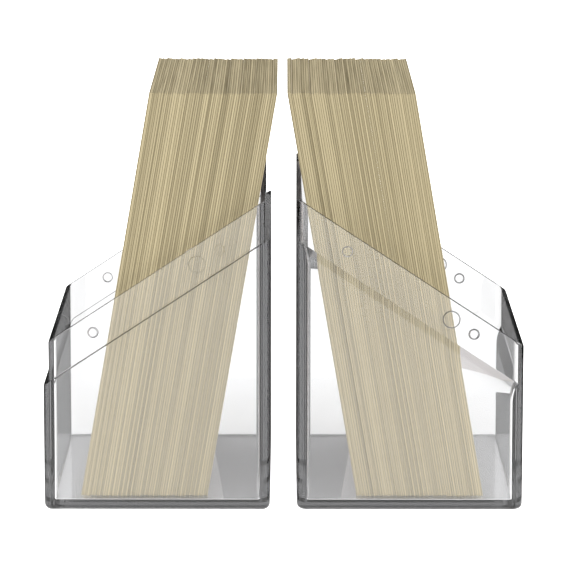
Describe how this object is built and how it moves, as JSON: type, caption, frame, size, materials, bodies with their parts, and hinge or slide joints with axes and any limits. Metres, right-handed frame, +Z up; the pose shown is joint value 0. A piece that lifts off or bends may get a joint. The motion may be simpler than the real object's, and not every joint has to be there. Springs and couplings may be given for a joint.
{
  "type": "card rack",
  "caption": "Clear moulded snap-together case for cards, opened into standing racks with slanted edges, each holding a leaning stack of sleeved cards.",
  "frame": {"origin": "on the surface it stands on, midway between the two halves and between their front and back walls", "axes": "+X to the viewer's right, from the base half to the cover half; +Y away from the viewer, along the cards' width; +Z up"},
  "size_m": [0.1064, 0.072, 0.0933],
  "materials": {
    "clear_plastic": "polished clear moulding",
    "card_sleeve": "cream card edges in matt sleeves"
  },
  "bodies": {
    "base_half": {"base_shell": "clear_plastic"},
    "base_stack": {"base_card_01": "card_sleeve"},
    "base_leaf_28": {"base_card_28": "card_sleeve"},
    "base_leaf_27": {"base_card_27": "card_sleeve"},
    "base_leaf_26": {"base_card_26": "card_sleeve"},
    "base_leaf_25": {"base_card_25": "card_sleeve"},
    "base_leaf_24": {"base_card_24": "card_sleeve"},
    "base_leaf_23": {"base_card_23": "card_sleeve"},
    "base_leaf_22": {"base_card_22": "card_sleeve"},
    "base_leaf_21": {"base_card_21": "card_sleeve"},
    "base_leaf_20": {"base_card_20": "card_sleeve"},
    "base_leaf_19": {"base_card_19": "card_sleeve"},
    "base_leaf_18": {"base_card_18": "card_sleeve"},
    "base_leaf_17": {"base_card_17": "card_sleeve"},
    "base_leaf_16": {"base_card_16": "card_sleeve"},
    "base_leaf_15": {"base_card_15": "card_sleeve"},
    "base_leaf_14": {"base_card_14": "card_sleeve"},
    "base_leaf_13": {"base_card_13": "card_sleeve"},
    "base_leaf_12": {"base_card_12": "card_sleeve"},
    "base_leaf_11": {"base_card_11": "card_sleeve"},
    "base_leaf_10": {"base_card_10": "card_sleeve"},
    "base_leaf_09": {"base_card_09": "card_sleeve"},
    "base_leaf_08": {"base_card_08": "card_sleeve"},
    "base_leaf_07": {"base_card_07": "card_sleeve"},
    "base_leaf_06": {"base_card_06": "card_sleeve"},
    "base_leaf_05": {"base_card_05": "card_sleeve"},
    "base_leaf_04": {"base_card_04": "card_sleeve"},
    "base_leaf_03": {"base_card_03": "card_sleeve"},
    "base_leaf_02": {"base_card_02": "card_sleeve"},
    "cover_half": {"cover_shell": "clear_plastic"},
    "cover_stack": {"cover_card_01": "card_sleeve"},
    "cover_leaf_28": {"cover_card_28": "card_sleeve"},
    "cover_leaf_27": {"cover_card_27": "card_sleeve"},
    "cover_leaf_26": {"cover_card_26": "card_sleeve"},
    "cover_leaf_25": {"cover_card_25": "card_sleeve"},
    "cover_leaf_24": {"cover_card_24": "card_sleeve"},
    "cover_leaf_23": {"cover_card_23": "card_sleeve"},
    "cover_leaf_22": {"cover_card_22": "card_sleeve"},
    "cover_leaf_21": {"cover_card_21": "card_sleeve"},
    "cover_leaf_20": {"cover_card_20": "card_sleeve"},
    "cover_leaf_19": {"cover_card_19": "card_sleeve"},
    "cover_leaf_18": {"cover_card_18": "card_sleeve"},
    "cover_leaf_17": {"cover_card_17": "card_sleeve"},
    "cover_leaf_16": {"cover_card_16": "card_sleeve"},
    "cover_leaf_15": {"cover_card_15": "card_sleeve"},
    "cover_leaf_14": {"cover_card_14": "card_sleeve"},
    "cover_leaf_13": {"cover_card_13": "card_sleeve"},
    "cover_leaf_12": {"cover_card_12": "card_sleeve"},
    "cover_leaf_11": {"cover_card_11": "card_sleeve"},
    "cover_leaf_10": {"cover_card_10": "card_sleeve"},
    "cover_leaf_09": {"cover_card_09": "card_sleeve"},
    "cover_leaf_08": {"cover_card_08": "card_sleeve"},
    "cover_leaf_07": {"cover_card_07": "card_sleeve"},
    "cover_leaf_06": {"cover_card_06": "card_sleeve"},
    "cover_leaf_05": {"cover_card_05": "card_sleeve"},
    "cover_leaf_04": {"cover_card_04": "card_sleeve"},
    "cover_leaf_03": {"cover_card_03": "card_sleeve"},
    "cover_leaf_02": {"cover_card_02": "card_sleeve"}
  },
  "joints": [
    {"name": "base_stack_lift", "type": "slide", "parent": "base_half", "child": "base_stack", "axis": [0, 0, 1], "range_m": [0, 0.075]},
    {"name": "base_card_28_browse", "type": "hinge", "parent": "base_stack", "child": "base_leaf_28", "pos_m": [-0.04461, 0, 0.00258], "axis": [0, -1, 0], "range_deg": [0, 18.5]},
    {"name": "base_card_27_browse", "type": "hinge", "parent": "base_stack", "child": "base_leaf_27", "pos_m": [-0.04361, 0, 0.00258], "axis": [0, -1, 0], "range_deg": [0, 17.83]},
    {"name": "base_card_26_browse", "type": "hinge", "parent": "base_stack", "child": "base_leaf_26", "pos_m": [-0.0426, 0, 0.00258], "axis": [0, -1, 0], "range_deg": [0, 17.15]},
    {"name": "base_card_25_browse", "type": "hinge", "parent": "base_stack", "child": "base_leaf_25", "pos_m": [-0.0416, 0, 0.00258], "axis": [0, -1, 0], "range_deg": [0, 16.46]},
    {"name": "base_card_24_browse", "type": "hinge", "parent": "base_stack", "child": "base_leaf_24", "pos_m": [-0.04059, 0, 0.00258], "axis": [0, -1, 0], "range_deg": [0, 15.78]},
    {"name": "base_card_23_browse", "type": "hinge", "parent": "base_stack", "child": "base_leaf_23", "pos_m": [-0.03959, 0, 0.00258], "axis": [0, -1, 0], "range_deg": [0, 15.09]},
    {"name": "base_card_22_browse", "type": "hinge", "parent": "base_stack", "child": "base_leaf_22", "pos_m": [-0.03858, 0, 0.00258], "axis": [0, -1, 0], "range_deg": [0, 14.41]},
    {"name": "base_card_21_browse", "type": "hinge", "parent": "base_stack", "child": "base_leaf_21", "pos_m": [-0.03758, 0, 0.00258], "axis": [0, -1, 0], "range_deg": [0, 13.72]},
    {"name": "base_card_20_browse", "type": "hinge", "parent": "base_stack", "child": "base_leaf_20", "pos_m": [-0.03658, 0, 0.00258], "axis": [0, -1, 0], "range_deg": [0, 13.04]},
    {"name": "base_card_19_browse", "type": "hinge", "parent": "base_stack", "child": "base_leaf_19", "pos_m": [-0.03557, 0, 0.00258], "axis": [0, -1, 0], "range_deg": [0, 12.35]},
    {"name": "base_card_18_browse", "type": "hinge", "parent": "base_stack", "child": "base_leaf_18", "pos_m": [-0.03456, 0, 0.00258], "axis": [0, -1, 0], "range_deg": [0, 11.67]},
    {"name": "base_card_17_browse", "type": "hinge", "parent": "base_stack", "child": "base_leaf_17", "pos_m": [-0.03356, 0, 0.00258], "axis": [0, -1, 0], "range_deg": [0, 10.98]},
    {"name": "base_card_16_browse", "type": "hinge", "parent": "base_stack", "child": "base_leaf_16", "pos_m": [-0.03256, 0, 0.00258], "axis": [0, -1, 0], "range_deg": [0, 10.3]},
    {"name": "base_card_15_browse", "type": "hinge", "parent": "base_stack", "child": "base_leaf_15", "pos_m": [-0.03155, 0, 0.00258], "axis": [0, -1, 0], "range_deg": [0, 9.61]},
    {"name": "base_card_14_browse", "type": "hinge", "parent": "base_stack", "child": "base_leaf_14", "pos_m": [-0.03055, 0, 0.00258], "axis": [0, -1, 0], "range_deg": [0, 8.93]},
    {"name": "base_card_13_browse", "type": "hinge", "parent": "base_stack", "child": "base_leaf_13", "pos_m": [-0.02954, 0, 0.00258], "axis": [0, -1, 0], "range_deg": [0, 8.24]},
    {"name": "base_card_12_browse", "type": "hinge", "parent": "base_stack", "child": "base_leaf_12", "pos_m": [-0.02854, 0, 0.00258], "axis": [0, -1, 0], "range_deg": [0, 7.56]},
    {"name": "base_card_11_browse", "type": "hinge", "parent": "base_stack", "child": "base_leaf_11", "pos_m": [-0.02753, 0, 0.00258], "axis": [0, -1, 0], "range_deg": [0, 6.87]},
    {"name": "base_card_10_browse", "type": "hinge", "parent": "base_stack", "child": "base_leaf_10", "pos_m": [-0.02653, 0, 0.00258], "axis": [0, -1, 0], "range_deg": [0, 6.19]},
    {"name": "base_card_09_browse", "type": "hinge", "parent": "base_stack", "child": "base_leaf_09", "pos_m": [-0.02552, 0, 0.00258], "axis": [0, -1, 0], "range_deg": [0, 5.5]},
    {"name": "base_card_08_browse", "type": "hinge", "parent": "base_stack", "child": "base_leaf_08", "pos_m": [-0.02452, 0, 0.00258], "axis": [0, -1, 0], "range_deg": [0, 4.82]},
    {"name": "base_card_07_browse", "type": "hinge", "parent": "base_stack", "child": "base_leaf_07", "pos_m": [-0.02351, 0, 0.00258], "axis": [0, -1, 0], "range_deg": [0, 4.13]},
    {"name": "base_card_06_browse", "type": "hinge", "parent": "base_stack", "child": "base_leaf_06", "pos_m": [-0.02251, 0, 0.00258], "axis": [0, -1, 0], "range_deg": [0, 3.45]},
    {"name": "base_card_05_browse", "type": "hinge", "parent": "base_stack", "child": "base_leaf_05", "pos_m": [-0.0215, 0, 0.00258], "axis": [0, -1, 0], "range_deg": [0, 2.76]},
    {"name": "base_card_04_browse", "type": "hinge", "parent": "base_stack", "child": "base_leaf_04", "pos_m": [-0.0205, 0, 0.00258], "axis": [0, -1, 0], "range_deg": [0, 2.08]},
    {"name": "base_card_03_browse", "type": "hinge", "parent": "base_stack", "child": "base_leaf_03", "pos_m": [-0.01949, 0, 0.00258], "axis": [0, -1, 0], "range_deg": [0, 1.39]},
    {"name": "base_card_02_browse", "type": "hinge", "parent": "base_stack", "child": "base_leaf_02", "pos_m": [-0.01849, 0, 0.00258], "axis": [0, -1, 0], "range_deg": [0, 0.71]},
    {"name": "cover_lift", "type": "slide", "parent": "base_half", "child": "cover_half", "axis": [0, 0, 1], "range_m": [0, 0.1]},
    {"name": "cover_stack_lift", "type": "slide", "parent": "cover_half", "child": "cover_stack", "axis": [0, 0, 1], "range_m": [0, 0.075]},
    {"name": "cover_card_28_browse", "type": "hinge", "parent": "cover_stack", "child": "cover_leaf_28", "pos_m": [0.04402, 0, 0.00258], "axis": [0, 1, 0], "range_deg": [0, 21]},
    {"name": "cover_card_27_browse", "type": "hinge", "parent": "cover_stack", "child": "cover_leaf_27", "pos_m": [0.04302, 0, 0.00258], "axis": [0, 1, 0], "range_deg": [0, 20.24]},
    {"name": "cover_card_26_browse", "type": "hinge", "parent": "cover_stack", "child": "cover_leaf_26", "pos_m": [0.04201, 0, 0.00258], "axis": [0, 1, 0], "range_deg": [0, 19.46]},
    {"name": "cover_card_25_browse", "type": "hinge", "parent": "cover_stack", "child": "cover_leaf_25", "pos_m": [0.04101, 0, 0.00258], "axis": [0, 1, 0], "range_deg": [0, 18.69]},
    {"name": "cover_card_24_browse", "type": "hinge", "parent": "cover_stack", "child": "cover_leaf_24", "pos_m": [0.04, 0, 0.00258], "axis": [0, 1, 0], "range_deg": [0, 17.91]},
    {"name": "cover_card_23_browse", "type": "hinge", "parent": "cover_stack", "child": "cover_leaf_23", "pos_m": [0.039, 0, 0.00258], "axis": [0, 1, 0], "range_deg": [0, 17.13]},
    {"name": "cover_card_22_browse", "type": "hinge", "parent": "cover_stack", "child": "cover_leaf_22", "pos_m": [0.03799, 0, 0.00258], "axis": [0, 1, 0], "range_deg": [0, 16.35]},
    {"name": "cover_card_21_browse", "type": "hinge", "parent": "cover_stack", "child": "cover_leaf_21", "pos_m": [0.03699, 0, 0.00258], "axis": [0, 1, 0], "range_deg": [0, 15.58]},
    {"name": "cover_card_20_browse", "type": "hinge", "parent": "cover_stack", "child": "cover_leaf_20", "pos_m": [0.03598, 0, 0.00258], "axis": [0, 1, 0], "range_deg": [0, 14.8]},
    {"name": "cover_card_19_browse", "type": "hinge", "parent": "cover_stack", "child": "cover_leaf_19", "pos_m": [0.03498, 0, 0.00258], "axis": [0, 1, 0], "range_deg": [0, 14.02]},
    {"name": "cover_card_18_browse", "type": "hinge", "parent": "cover_stack", "child": "cover_leaf_18", "pos_m": [0.03397, 0, 0.00258], "axis": [0, 1, 0], "range_deg": [0, 13.24]},
    {"name": "cover_card_17_browse", "type": "hinge", "parent": "cover_stack", "child": "cover_leaf_17", "pos_m": [0.03297, 0, 0.00258], "axis": [0, 1, 0], "range_deg": [0, 12.46]},
    {"name": "cover_card_16_browse", "type": "hinge", "parent": "cover_stack", "child": "cover_leaf_16", "pos_m": [0.03197, 0, 0.00258], "axis": [0, 1, 0], "range_deg": [0, 11.69]},
    {"name": "cover_card_15_browse", "type": "hinge", "parent": "cover_stack", "child": "cover_leaf_15", "pos_m": [0.03096, 0, 0.00258], "axis": [0, 1, 0], "range_deg": [0, 10.91]},
    {"name": "cover_card_14_browse", "type": "hinge", "parent": "cover_stack", "child": "cover_leaf_14", "pos_m": [0.02996, 0, 0.00258], "axis": [0, 1, 0], "range_deg": [0, 10.13]},
    {"name": "cover_card_13_browse", "type": "hinge", "parent": "cover_stack", "child": "cover_leaf_13", "pos_m": [0.02895, 0, 0.00258], "axis": [0, 1, 0], "range_deg": [0, 9.35]},
    {"name": "cover_card_12_browse", "type": "hinge", "parent": "cover_stack", "child": "cover_leaf_12", "pos_m": [0.02795, 0, 0.00258], "axis": [0, 1, 0], "range_deg": [0, 8.58]},
    {"name": "cover_card_11_browse", "type": "hinge", "parent": "cover_stack", "child": "cover_leaf_11", "pos_m": [0.02694, 0, 0.00258], "axis": [0, 1, 0], "range_deg": [0, 7.8]},
    {"name": "cover_card_10_browse", "type": "hinge", "parent": "cover_stack", "child": "cover_leaf_10", "pos_m": [0.02594, 0, 0.00258], "axis": [0, 1, 0], "range_deg": [0, 7.02]},
    {"name": "cover_card_09_browse", "type": "hinge", "parent": "cover_stack", "child": "cover_leaf_09", "pos_m": [0.02493, 0, 0.00258], "axis": [0, 1, 0], "range_deg": [0, 6.24]},
    {"name": "cover_card_08_browse", "type": "hinge", "parent": "cover_stack", "child": "cover_leaf_08", "pos_m": [0.02393, 0, 0.00258], "axis": [0, 1, 0], "range_deg": [0, 5.46]},
    {"name": "cover_card_07_browse", "type": "hinge", "parent": "cover_stack", "child": "cover_leaf_07", "pos_m": [0.02292, 0, 0.00258], "axis": [0, 1, 0], "range_deg": [0, 4.69]},
    {"name": "cover_card_06_browse", "type": "hinge", "parent": "cover_stack", "child": "cover_leaf_06", "pos_m": [0.02192, 0, 0.00258], "axis": [0, 1, 0], "range_deg": [0, 3.91]},
    {"name": "cover_card_05_browse", "type": "hinge", "parent": "cover_stack", "child": "cover_leaf_05", "pos_m": [0.02091, 0, 0.00258], "axis": [0, 1, 0], "range_deg": [0, 3.13]},
    {"name": "cover_card_04_browse", "type": "hinge", "parent": "cover_stack", "child": "cover_leaf_04", "pos_m": [0.01991, 0, 0.00258], "axis": [0, 1, 0], "range_deg": [0, 2.35]},
    {"name": "cover_card_03_browse", "type": "hinge", "parent": "cover_stack", "child": "cover_leaf_03", "pos_m": [0.01891, 0, 0.00258], "axis": [0, 1, 0], "range_deg": [0, 1.58]},
    {"name": "cover_card_02_browse", "type": "hinge", "parent": "cover_stack", "child": "cover_leaf_02", "pos_m": [0.0179, 0, 0.00258], "axis": [0, 1, 0], "range_deg": [0, 0.8]}
  ],
  "couplings": [
    {"joint": "base_card_27_browse", "follows": "base_card_28_browse", "ratio": 0.96296},
    {"joint": "base_card_26_browse", "follows": "base_card_28_browse", "ratio": 0.92593},
    {"joint": "base_card_25_browse", "follows": "base_card_28_browse", "ratio": 0.88889},
    {"joint": "base_card_24_browse", "follows": "base_card_28_browse", "ratio": 0.85185},
    {"joint": "base_card_23_browse", "follows": "base_card_28_browse", "ratio": 0.81481},
    {"joint": "base_card_22_browse", "follows": "base_card_28_browse", "ratio": 0.77778},
    {"joint": "base_card_21_browse", "follows": "base_card_28_browse", "ratio": 0.74074},
    {"joint": "base_card_20_browse", "follows": "base_card_28_browse", "ratio": 0.7037},
    {"joint": "base_card_19_browse", "follows": "base_card_28_browse", "ratio": 0.66667},
    {"joint": "base_card_18_browse", "follows": "base_card_28_browse", "ratio": 0.62963},
    {"joint": "base_card_17_browse", "follows": "base_card_28_browse", "ratio": 0.59259},
    {"joint": "base_card_16_browse", "follows": "base_card_28_browse", "ratio": 0.55556},
    {"joint": "base_card_15_browse", "follows": "base_card_28_browse", "ratio": 0.51852},
    {"joint": "base_card_14_browse", "follows": "base_card_28_browse", "ratio": 0.48148},
    {"joint": "base_card_13_browse", "follows": "base_card_28_browse", "ratio": 0.44444},
    {"joint": "base_card_12_browse", "follows": "base_card_28_browse", "ratio": 0.40741},
    {"joint": "base_card_11_browse", "follows": "base_card_28_browse", "ratio": 0.37037},
    {"joint": "base_card_10_browse", "follows": "base_card_28_browse", "ratio": 0.33333},
    {"joint": "base_card_09_browse", "follows": "base_card_28_browse", "ratio": 0.2963},
    {"joint": "base_card_08_browse", "follows": "base_card_28_browse", "ratio": 0.25926},
    {"joint": "base_card_07_browse", "follows": "base_card_28_browse", "ratio": 0.22222},
    {"joint": "base_card_06_browse", "follows": "base_card_28_browse", "ratio": 0.18518},
    {"joint": "base_card_05_browse", "follows": "base_card_28_browse", "ratio": 0.14815},
    {"joint": "base_card_04_browse", "follows": "base_card_28_browse", "ratio": 0.11111},
    {"joint": "base_card_03_browse", "follows": "base_card_28_browse", "ratio": 0.074074},
    {"joint": "base_card_02_browse", "follows": "base_card_28_browse", "ratio": 0.037037},
    {"joint": "cover_card_27_browse", "follows": "cover_card_28_browse", "ratio": 0.96296},
    {"joint": "cover_card_26_browse", "follows": "cover_card_28_browse", "ratio": 0.92593},
    {"joint": "cover_card_25_browse", "follows": "cover_card_28_browse", "ratio": 0.88889},
    {"joint": "cover_card_24_browse", "follows": "cover_card_28_browse", "ratio": 0.85185},
    {"joint": "cover_card_23_browse", "follows": "cover_card_28_browse", "ratio": 0.81481},
    {"joint": "cover_card_22_browse", "follows": "cover_card_28_browse", "ratio": 0.77778},
    {"joint": "cover_card_21_browse", "follows": "cover_card_28_browse", "ratio": 0.74074},
    {"joint": "cover_card_20_browse", "follows": "cover_card_28_browse", "ratio": 0.7037},
    {"joint": "cover_card_19_browse", "follows": "cover_card_28_browse", "ratio": 0.66667},
    {"joint": "cover_card_18_browse", "follows": "cover_card_28_browse", "ratio": 0.62963},
    {"joint": "cover_card_17_browse", "follows": "cover_card_28_browse", "ratio": 0.59259},
    {"joint": "cover_card_16_browse", "follows": "cover_card_28_browse", "ratio": 0.55556},
    {"joint": "cover_card_15_browse", "follows": "cover_card_28_browse", "ratio": 0.51852},
    {"joint": "cover_card_14_browse", "follows": "cover_card_28_browse", "ratio": 0.48148},
    {"joint": "cover_card_13_browse", "follows": "cover_card_28_browse", "ratio": 0.44444},
    {"joint": "cover_card_12_browse", "follows": "cover_card_28_browse", "ratio": 0.40741},
    {"joint": "cover_card_11_browse", "follows": "cover_card_28_browse", "ratio": 0.37037},
    {"joint": "cover_card_10_browse", "follows": "cover_card_28_browse", "ratio": 0.33333},
    {"joint": "cover_card_09_browse", "follows": "cover_card_28_browse", "ratio": 0.2963},
    {"joint": "cover_card_08_browse", "follows": "cover_card_28_browse", "ratio": 0.25926},
    {"joint": "cover_card_07_browse", "follows": "cover_card_28_browse", "ratio": 0.22222},
    {"joint": "cover_card_06_browse", "follows": "cover_card_28_browse", "ratio": 0.18518},
    {"joint": "cover_card_05_browse", "follows": "cover_card_28_browse", "ratio": 0.14815},
    {"joint": "cover_card_04_browse", "follows": "cover_card_28_browse", "ratio": 0.11111},
    {"joint": "cover_card_03_browse", "follows": "cover_card_28_browse", "ratio": 0.074074},
    {"joint": "cover_card_02_browse", "follows": "cover_card_28_browse", "ratio": 0.037037}
  ]
}
